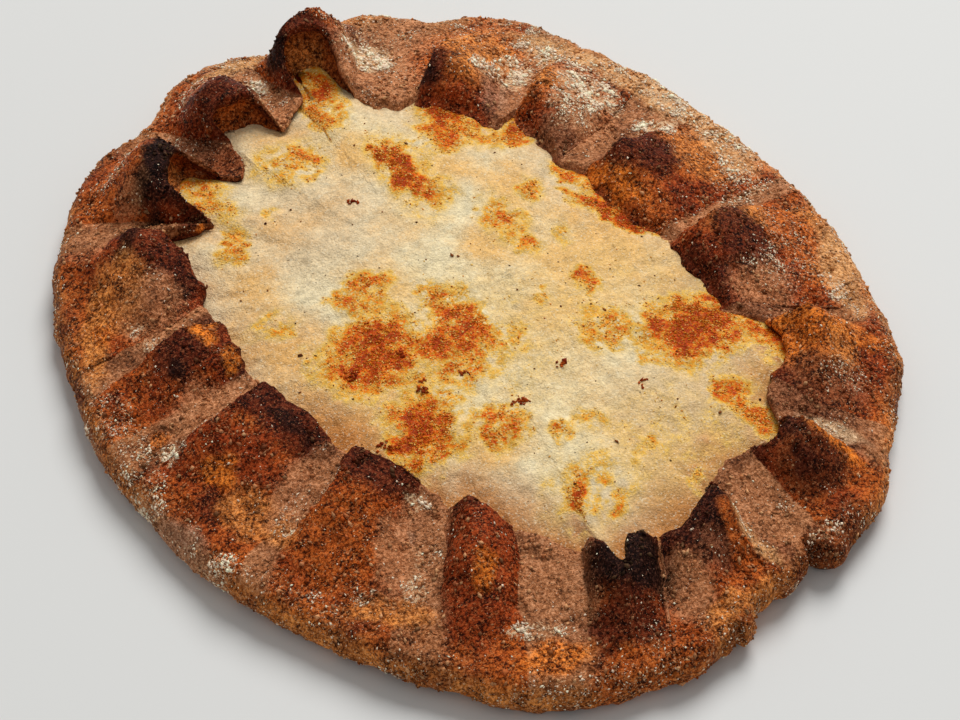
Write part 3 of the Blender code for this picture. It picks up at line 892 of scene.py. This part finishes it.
OCTAHEDRON = np.array([(1, 0, 0), (0, 1, 0), (-1, 0, 0), (0, -1, 0), (0, 0, 1), (0, 0, -1)], dtype=float)
OCTAHEDRON_FACES = np.array(
    [(0, 1, 4), (1, 2, 4), (2, 3, 4), (3, 0, 4), (1, 0, 5), (2, 1, 5), (3, 2, 5), (0, 3, 5)]
)


def surface_samples(rings, density, count, rng):
    """Random places on a stack of rings, more where density is higher: points, normals, ring positions."""
    normals = grid_normals(rings)
    along = np.linalg.norm(np.roll(rings, -1, axis=1) - rings, axis=2)
    up = np.linalg.norm(np.diff(rings, axis=0, append=rings[-1:]), axis=2)
    chance = (along * up * density).ravel()
    picked = rng.choice(len(chance), size=count, p=chance / chance.sum())
    row, column = np.divmod(picked, rings.shape[1])
    beside, above = (column + 1) % rings.shape[1], np.minimum(row + 1, len(rings) - 1)
    part, rest = rng.random((2, count, 1))
    lower = mix(rings[row, column], rings[row, beside], part)
    upper = mix(rings[above, column], rings[above, beside], part)
    return mix(lower, upper, rest), normals[row, column], picked


def make_grains(name, points, normals, sizes, flatness, rng):
    """Many small stony grains as one mesh object. Each is an eight-sided lump with uneven corners, pressed
    flat against the surface by its flatness."""
    count, corner_count = len(points), len(OCTAHEDRON)
    corners = OCTAHEDRON * rng.uniform(0.6, 1.3, (count, corner_count, 1))
    corners = (corners + rng.uniform(-0.25, 0.25, (count, corner_count, 3))) * sizes[:, None, None] * 0.5
    tangent = np.cross(normals, rng.normal(size=(count, 3)))
    tangent = tangent / np.maximum(np.linalg.norm(tangent, axis=1, keepdims=True), 1e-9)
    side = np.cross(normals, tangent)
    stretch = rng.uniform(0.7, 1.5, (count, 1))
    axes = np.stack([tangent * stretch, side / stretch, normals * flatness], axis=1)
    middles = points + normals * (sizes * 0.12)[:, None]
    placed = middles[:, None] + corners @ axes
    faces = OCTAHEDRON_FACES + corner_count * np.arange(count)[:, None, None]
    return mesh_object(name, placed.reshape(-1, 3) * MM, (faces.reshape(-1, 3),))


def paint_grains(piece, colours):
    """Stores one colour for each grain."""
    store(piece, "tint", np.repeat(np.clip(colours, 0, 1), len(OCTAHEDRON), axis=0))


def crust_density(rings, seed):
    """A density of grains over the crust: loose drifts, and none at its foot or inside it."""
    density = np.exp(2.4 * noise(rings, 1.8, seed) + 1.3 * noise(rings, 0.7, seed + 10))
    density[rings[..., 2] < LOWEST_GRAIN] = 0
    density[LIP_ROW - 1 :] = 0
    return density


def make_flour(rings, flour, rng):
    """Grains of flour clinging to the crust, larger where they drift together."""
    density = (flour**2.2 + 0.006) * crust_density(rings, 61)
    points, normals, picked = surface_samples(rings, density, FLOUR_GRAINS, rng)
    drift = smooth((flour.ravel()[picked] - 0.4) / 0.4)
    sizes = (0.11 + 0.36 * rng.random(len(points)) ** 4) * mix(0.8, 1.6, drift)
    grains = make_grains("flour_grains", points, normals, sizes, 0.6, rng)
    paint_grains(grains, srgb(252, 226, 196) * rng.uniform(0.8, 1.3, (len(points), 1)))
    return grains


def make_crumbs(rings, tint, rng):
    """Loose crumbs and blisters of the crust's own dough, lighter and darker than the dough below them."""
    points, normals, picked = surface_samples(rings, crust_density(rings, 62), CRUST_CRUMBS, rng)
    sizes = 0.2 + 0.5 * rng.random(len(points)) ** 3
    crumbs = make_grains("crust_crumbs", points, normals, sizes, 0.7, rng)
    base = tint.reshape(-1, 3)[picked]
    lit = np.clip(brightness(base) / 0.12, 0.15, 1)[:, None]
    bright = lit * rng.random((len(points), 1)) ** 2.5
    shade = rng.uniform(0.3, 1.3, (len(points), 1))
    paint_grains(crumbs, mix(base * shade, srgb(240, 184, 130), 0.8 * bright))
    return crumbs


def filling_place(rings, plan):
    """Points on the filling's surface at these places on the plan."""
    surface = rings[EDGE_ROW:].reshape(-1, 3)
    heights = [surface[np.argmin(((surface[:, :2] - spot) ** 2).sum(axis=1)), 2] for spot in plan]
    return np.column_stack([plan, heights])


def uneven_up(count, spread, rng):
    """Directions close to straight up."""
    return np.array([0, 0, 1]) + rng.normal(0, spread, (count, 3))


def make_bran(rings, rng):
    """Flakes and specks of bran on the filling: the listed ones, and more strewn over an oval."""
    listed = np.array([(flake.x, flake.y, flake.length) for flake in BRAN_FLAKES])
    turn = rng.uniform(0, 2 * np.pi, STREWN_BRAN)
    reach = 0.92 * rng.random(STREWN_BRAN) ** 0.5
    lengths = rng.uniform(0.1, 0.3, STREWN_BRAN)
    half_width, half_length = STREWN_OVAL
    plan = [half_width * reach * np.cos(turn), half_length * reach * np.sin(turn)]
    strewn = np.stack([*plan, lengths], axis=1)
    flakes = np.concatenate([listed, strewn])
    points = filling_place(rings, flakes[:, :2])
    normals = uneven_up(len(points), 0.2, rng)
    bran = make_grains("bran_flakes", points, normals, flakes[:, 2], 0.3, rng)
    paint_grains(bran, mix(srgb(70, 30, 12), srgb(150, 84, 36), rng.random((len(points), 1)) ** 1.5))
    return bran


def make_baked_crumbs(rings, rng):
    """Rust-brown crumbs baked into the filling in small clusters."""
    plan, sizes = [], []
    for cluster in CRUMB_CLUSTERS:
        count = round(CLUSTER_CRUMBS * cluster.size)
        plan.append([cluster.x, cluster.y] + rng.normal(0, 0.42 * cluster.size, (count, 2)))
        sizes.append(rng.uniform(0.3, 0.6, count))
    points = filling_place(rings, np.concatenate(plan))
    normals = uneven_up(len(points), 0.3, rng)
    crumbs = make_grains("baked_crumbs", points, normals, np.concatenate(sizes), 0.7, rng)
    paint_grains(crumbs, mix(srgb(128, 38, 8), srgb(204, 96, 30), rng.random((len(points), 1)) ** 1.5))
    return crumbs


def make_toasted_mash(rings, brown, rng):
    """Small crisp grains of mash where the filling is toasted."""
    density = brown**1.5 * np.exp(1.2 * noise(rings, 1, 66))
    density[: EDGE_ROW + 1] = 0
    points, normals, picked = surface_samples(rings, density, TOASTED_GRAINS, rng)
    sizes = 0.1 + 0.24 * rng.random(len(points)) ** 2
    mash = make_grains("toasted_mash", points, normals, sizes, 0.4, rng)
    amount = weight(brown.ravel()[picked] + rng.normal(-0.2, 0.42, len(points)))
    colour = mix(srgb(250, 206, 116), srgb(226, 138, 34), smooth(amount / 0.5))
    paint_grains(mash, mix(colour, srgb(180, 78, 12), smooth((amount - 0.5) / 0.5)))
    return mash


# ---- materials


class Nodes:
    """A material's node tree, with short ways to add the nodes that the materials here use."""

    def __init__(self, name):
        self.material = bpy.data.materials.new(name)
        self.material.use_nodes = True
        self.tree = self.material.node_tree

    def fill(self, node, inputs):
        """Links a node's inputs to other nodes, or sets them to numbers and colours."""
        for name, value in inputs.items():
            if isinstance(value, bpy.types.NodeSocket):
                self.tree.links.new(value, node.inputs[name])
            else:
                node.inputs[name].default_value = value

    def add(self, kind, inputs, output, **settings):
        """Adds a node, and returns one of its outputs."""
        node = self.tree.nodes.new(kind)
        for name, value in settings.items():
            setattr(node, name, value)
        self.fill(node, inputs)
        return node.outputs[output]

    def attribute(self, name, output="Fac"):
        return self.add("ShaderNodeAttribute", {}, output, attribute_name=name)

    def noise(self, millimetres, detail, roughness):
        """Cloudy values around 0.5, with lumps of this size."""
        place = self.add("ShaderNodeTexCoord", {}, "Object")
        inputs = {"Vector": place, "Scale": 1000 / millimetres, "Detail": detail, "Roughness": roughness}
        return self.add("ShaderNodeTexNoise", inputs, "Fac")

    def math(self, operation, first, second, clamp=False):
        return self.add("ShaderNodeMath", {0: first, 1: second}, 0, operation=operation, use_clamp=clamp)

    def span(self, value, low, high, new_low=0, new_high=1):
        """The value carried from one span of numbers to another, and held inside it."""
        inputs = {"Value": value, "From Min": low, "From Max": high, "To Min": new_low, "To Max": new_high}
        return self.add("ShaderNodeMapRange", inputs, 0)

    def blend(self, share, first, second, kind="MIX"):
        inputs = {0: share, 6: first, 7: second}
        return self.add("ShaderNodeMix", inputs, 2, data_type="RGBA", blend_type=kind)

    def times(self, first, second):
        """One colour times another."""
        return self.blend(1, first, second, "MULTIPLY")

    def gamma(self, colour, power):
        """The colour with each part raised to this power, paler where it is below 1."""
        return self.add("ShaderNodeGamma", {"Color": colour, "Gamma": power}, "Color")

    def ramp(self, value, stops):
        """A colour for the value, from stops of a value and its colour."""
        output = self.add("ShaderNodeValToRGB", {0: value}, 0)
        elements = output.node.color_ramp.elements
        for k, (place, colour) in enumerate(stops):
            stop = elements[k] if k < 2 else elements.new(place)
            stop.position = place
            stop.color = colour
        return output

    def bump(self, height, millimetres, strength, below=None):
        inputs = {"Height": height, "Distance": millimetres * MM, "Strength": strength}
        if below is not None:
            inputs["Normal"] = below
        return self.add("ShaderNodeBump", inputs, "Normal")

    def finished(self, inputs):
        """The material, with its surface's inputs set."""
        self.fill(self.tree.nodes["Principled BSDF"], inputs)
        return self.material


def toasted_dough(nodes, tint, calm):
    """The dough's baked colour, scorched in patches and paler in blistered patches that are partly painted
    highlight, with dark pits and pale flecks of painted highlight.
    """
    broad = nodes.span(nodes.noise(2.4, 2, 0.6), 0.36, 0.64, -0.34, 0.3)
    coarse = nodes.span(nodes.noise(0.95, 3, 0.75), 0.38, 0.63, -0.36, 0.34)
    fine = nodes.span(nodes.noise(0.4, 2, 0.75), 0.38, 0.63, -0.65, 0.65)
    tone = nodes.math("ADD", nodes.math("ADD", broad, coarse), fine)
    tone = nodes.math("MULTIPLY", tone, nodes.span(calm, 0, 1, 1, 0.6))
    scorched = nodes.times(tint, (0.11, 0.08, 0.08, 1))
    # Paler blistered patches: partly the dough's own colour, partly painted highlight.
    blister_and_highlight = nodes.times(tint, (2, 2.5, 3.2, 1))
    colour = nodes.blend(nodes.span(tone, -0.8, 0), scorched, tint)
    colour = nodes.blend(nodes.span(tone, 0.05, 0.7), colour, blister_and_highlight)
    pits = nodes.span(nodes.noise(0.48, 2, 0.8), 0.595, 0.66, 0, 0.75)
    pits = nodes.math("MULTIPLY", pits, nodes.span(calm, 0, 1, 1, 0.55))
    colour = nodes.blend(pits, colour, opaque(48, 17, 8))
    # Painted highlights: pale flecks of the baked colour, standing for glints of light on the crust.
    highlight_flecks = nodes.span(nodes.noise(0.33, 2, 0.8), 0.56, 0.64, 0, 0.85)
    painted_highlight = nodes.times(nodes.gamma(tint, 0.5), (1.15, 0.9, 0.72, 1))
    return nodes.blend(highlight_flecks, colour, painted_highlight)


def dusted(nodes, colour, flour):
    """The colour under a haze of flour and its fine grains."""
    haze = nodes.span(nodes.math("ADD", flour, nodes.noise(1.4, 3, 0.7)), 1, 1.7, 0, 0.42)
    colour = nodes.blend(haze, colour, opaque(214, 156, 108))
    limit = nodes.span(flour, 0, 1, 0.7, 0.42)
    dust = nodes.span(nodes.math("SUBTRACT", nodes.noise(0.36, 3, 0.75), limit), 0, 0.08)
    return nodes.blend(nodes.math("MULTIPLY", dust, 0.85), colour, opaque(248, 208, 162))


def crust_material():
    """Toasted rye dough: its baked colour, broken up by grain, with flour dust and dark specks."""
    nodes = Nodes("rye_crust")
    colour = toasted_dough(nodes, nodes.attribute("tint", "Color"), nodes.attribute("calm"))
    colour = dusted(nodes, colour, nodes.attribute("flour"))
    lumps = nodes.bump(nodes.noise(0.8, 4, 0.7), 0.5, 0.8)
    grain = nodes.bump(nodes.noise(0.22, 2, 0.7), 0.18, 0.9, lumps)
    inputs = {"Base Color": colour, "Roughness": 0.5, "Specular IOR Level": 0.05, "Normal": grain}
    return nodes.finished(inputs)


def baked_mash(nodes, grain, amount):
    """The filling's colour: pale and clouded, with painted shade in the lip's shelter, gold to rust where
    toasted.
    """
    cloud = nodes.span(nodes.math("ADD", nodes.attribute("warm"), nodes.noise(3, 4, 0.7)), 0.7, 1.3)
    pale = nodes.blend(cloud, opaque(255, 237, 192), opaque(255, 202, 124))
    # Painted shade: the filling's colour darkens where the lip shades it.
    pale = nodes.blend(nodes.attribute("painted_shade"), pale, opaque(208, 134, 66))
    stops = (
        (0, opaque(250, 214, 146)),
        (0.14, opaque(250, 202, 98)),
        (0.34, opaque(244, 168, 44)),
        (0.56, opaque(240, 122, 10)),
        (0.78, opaque(224, 82, 0)),
        (1, opaque(172, 56, 4)),
    )
    colour = nodes.blend(nodes.span(amount, 0, 0.14), pale, nodes.ramp(amount, stops))
    mottle = nodes.span(nodes.noise(1.3, 5, 0.8), 0.36, 0.64, 0.82, 1.15)
    return nodes.times(colour, nodes.math("MULTIPLY", nodes.span(grain, 0.36, 0.64, 0.84, 1.12), mottle))


def add_painted_glints(nodes, colour, amount):
    """The colour with small pale painted glints, painted highlights that are golden and fewer where it is
    toasted.
    """
    # Painted highlights: pale glints of colour on the filling.
    painted_glints = nodes.span(nodes.noise(0.3, 2, 0.7), 0.57, 0.66, 0, 0.55)
    painted_glints = nodes.math("MULTIPLY", painted_glints, nodes.span(amount, 0.2, 0.7, 1, 0.4))
    return nodes.blend(painted_glints, colour, nodes.blend(amount, opaque(255, 240, 206), opaque(255, 206, 96)))


def filling_material():
    """Baked porridge: pale and fine-grained, gold to rust where it is toasted."""
    nodes = Nodes("porridge_filling")
    brown = nodes.attribute("brown")
    grain = nodes.noise(0.36, 3, 0.75)
    broken = nodes.span(nodes.noise(1.6, 7, 0.8), 0.37, 0.63, -0.36, 0.3)
    speckle = nodes.span(grain, 0.34, 0.66, -0.38, 0.3)
    uneven = nodes.math("MULTIPLY", nodes.math("ADD", broken, speckle), nodes.span(brown, 0.06, 0.5))
    amount = nodes.math("ADD", brown, uneven, clamp=True)
    colour = add_painted_glints(nodes, baked_mash(nodes, grain, amount), amount)
    lumps = nodes.bump(nodes.noise(1, 4, 0.7), 0.4, 0.7)
    grit = nodes.bump(nodes.noise(0.25, 2, 0.7), 0.12, 0.8, lumps)
    inputs = {"Base Color": colour, "Roughness": 0.38, "Specular IOR Level": 0.1, "Normal": grit}
    return nodes.finished(inputs)


def grain_material(name, roughness, spread):
    """Small grains: each has its own tint, mottled a little."""
    nodes = Nodes(name)
    shade = nodes.span(nodes.noise(0.2, 2, 0.6), 0.3, 0.7, 1 - spread, 1 + spread)
    colour = nodes.times(nodes.attribute("tint", "Color"), shade)
    return nodes.finished({"Base Color": colour, "Roughness": roughness, "Specular IOR Level": 0.05})


# ---- the set


def make_floor():
    size = 3
    points = [(-size, -size, 0), (size, -size, 0), (size, size, 0), (-size, size, 0)]
    floor = mesh_object("floor", np.array(points), (np.array([[0, 1, 2, 3]]),))
    pale = Nodes("pale_floor").finished({"Base Color": opaque(224, 224, 221), "Roughness": 0.6})
    floor.data.materials.append(pale)


def aim(made, target, back, distance=1):
    """Sets an object back from its target, and turns it to face the target."""
    made.location = Vector(target) + back * distance
    made.rotation_euler = back.to_track_quat("Z", "Y").to_euler()


def make_light(name, place, size, power):
    """A round lamp that faces the middle of the floor."""
    light = bpy.data.lights.new(name, "AREA")
    light.shape = "DISK"
    light.size = size
    light.energy = power
    aim(new_object(name, light), (0, 0, 0), Vector(place))


def make_world(strength):
    """Even white light from all round."""
    world = bpy.data.worlds.new("studio")
    world.use_nodes = True
    background = world.node_tree.nodes["Background"]
    background.inputs["Color"].default_value = (1, 1, 1, 1)
    background.inputs["Strength"].default_value = strength
    bpy.context.scene.world = world


def make_camera(target, azimuth, elevation, distance, lens):
    """A camera that looks at the target, from this far round it and above it."""
    azimuth, elevation = math.radians(azimuth), math.radians(elevation)
    level = math.cos(elevation)
    back = Vector((math.sin(azimuth) * level, -math.cos(azimuth) * level, math.sin(elevation)))
    camera = bpy.data.cameras.new("camera")
    camera.lens = lens
    bpy.context.scene.camera = new_object("camera", camera)
    aim(bpy.context.scene.camera, target, back, distance)


# ---- putting it together


def points_of(piece):
    found = np.empty(len(piece.data.vertices) * 3, dtype=np.float32)
    piece.data.vertices.foreach_get("co", found)
    return found.reshape(-1, 3).astype(float)


def fit_to_box(pieces, measured, low, high):
    """Moves and scales the pieces' points together, so that the measured piece's box is the box given.
    Returns the move."""
    points = points_of(measured)
    low, old_low = np.array(low), points.min(axis=0)
    factor = (np.array(high) - low) / (points.max(axis=0) - old_low)
    for piece in pieces:
        moved = low + (points_of(piece) - old_low) * factor
        piece.data.vertices.foreach_set("co", moved.astype(np.float32).ravel())
        piece.data.update()
    return low - old_low * factor


rim = Rim(CRUST_COLUMNS)
crust, crust_grid = make_crust(rim)
filling, filling_grid = make_filling(Rim(FILLING_COLUMNS))

tint, flour, calm = crust_look(rim, crust_grid)
set_attribute(crust, "tint", tint, COLOURS["brown"])
set_attribute(crust, "flour", flour, 0)
set_attribute(crust, "calm", calm, 0)
brown, warm, painted_shade = filling_look(filling_grid)
set_attribute(filling, "brown", brown, 0)
set_attribute(filling, "warm", warm, 0.5)
set_attribute(filling, "painted_shade", painted_shade, 0)

rng = np.random.default_rng(SEED)
flour_grains = make_flour(crust_grid, flour, rng)
crust_crumbs = make_crumbs(crust_grid, tint, rng)
bran_flakes = make_bran(filling_grid, rng)
baked_crumbs = make_baked_crumbs(filling_grid, rng)
toasted_mash = make_toasted_mash(filling_grid, brown, rng)

pieces = (crust, filling, flour_grains, crust_crumbs, bran_flakes, baked_crumbs, toasted_mash)
shift = fit_to_box(pieces, crust, *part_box("crust"))

crust.data.materials.append(crust_material())
filling.data.materials.append(filling_material())
for piece, node, slot in ((crust, "crust", "rye_crust"), (filling, "filling", "porridge_filling")):
    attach(piece, "root")
    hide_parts(node)
for piece, slot, name, roughness, spread in (
    (flour_grains, "rye_crust", "flour", 0.8, 0.15),
    (crust_crumbs, "rye_crust", "crust_crumb", 0.6, 0.3),
    (bran_flakes, "porridge_filling", "bran", 0.6, 0.2),
    (baked_crumbs, "porridge_filling", "baked_crumb", 0.5, 0.2),
    (toasted_mash, "porridge_filling", "toasted_mash", 0.5, 0.2),
):
    piece.data.materials.append(grain_material(name, roughness, spread))
    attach(piece, "root")

make_floor()
make_light("key", place=(1, 1, 1.5), size=1.25, power=34)
make_world(strength=0.36)
camera_target = (shift[0] - 0.0014, shift[1] - 0.0068, 0.005)
make_camera(camera_target, azimuth=-28, elevation=48, distance=0.380, lens=122.5)
bpy.context.scene.view_settings.view_transform = "Standard"
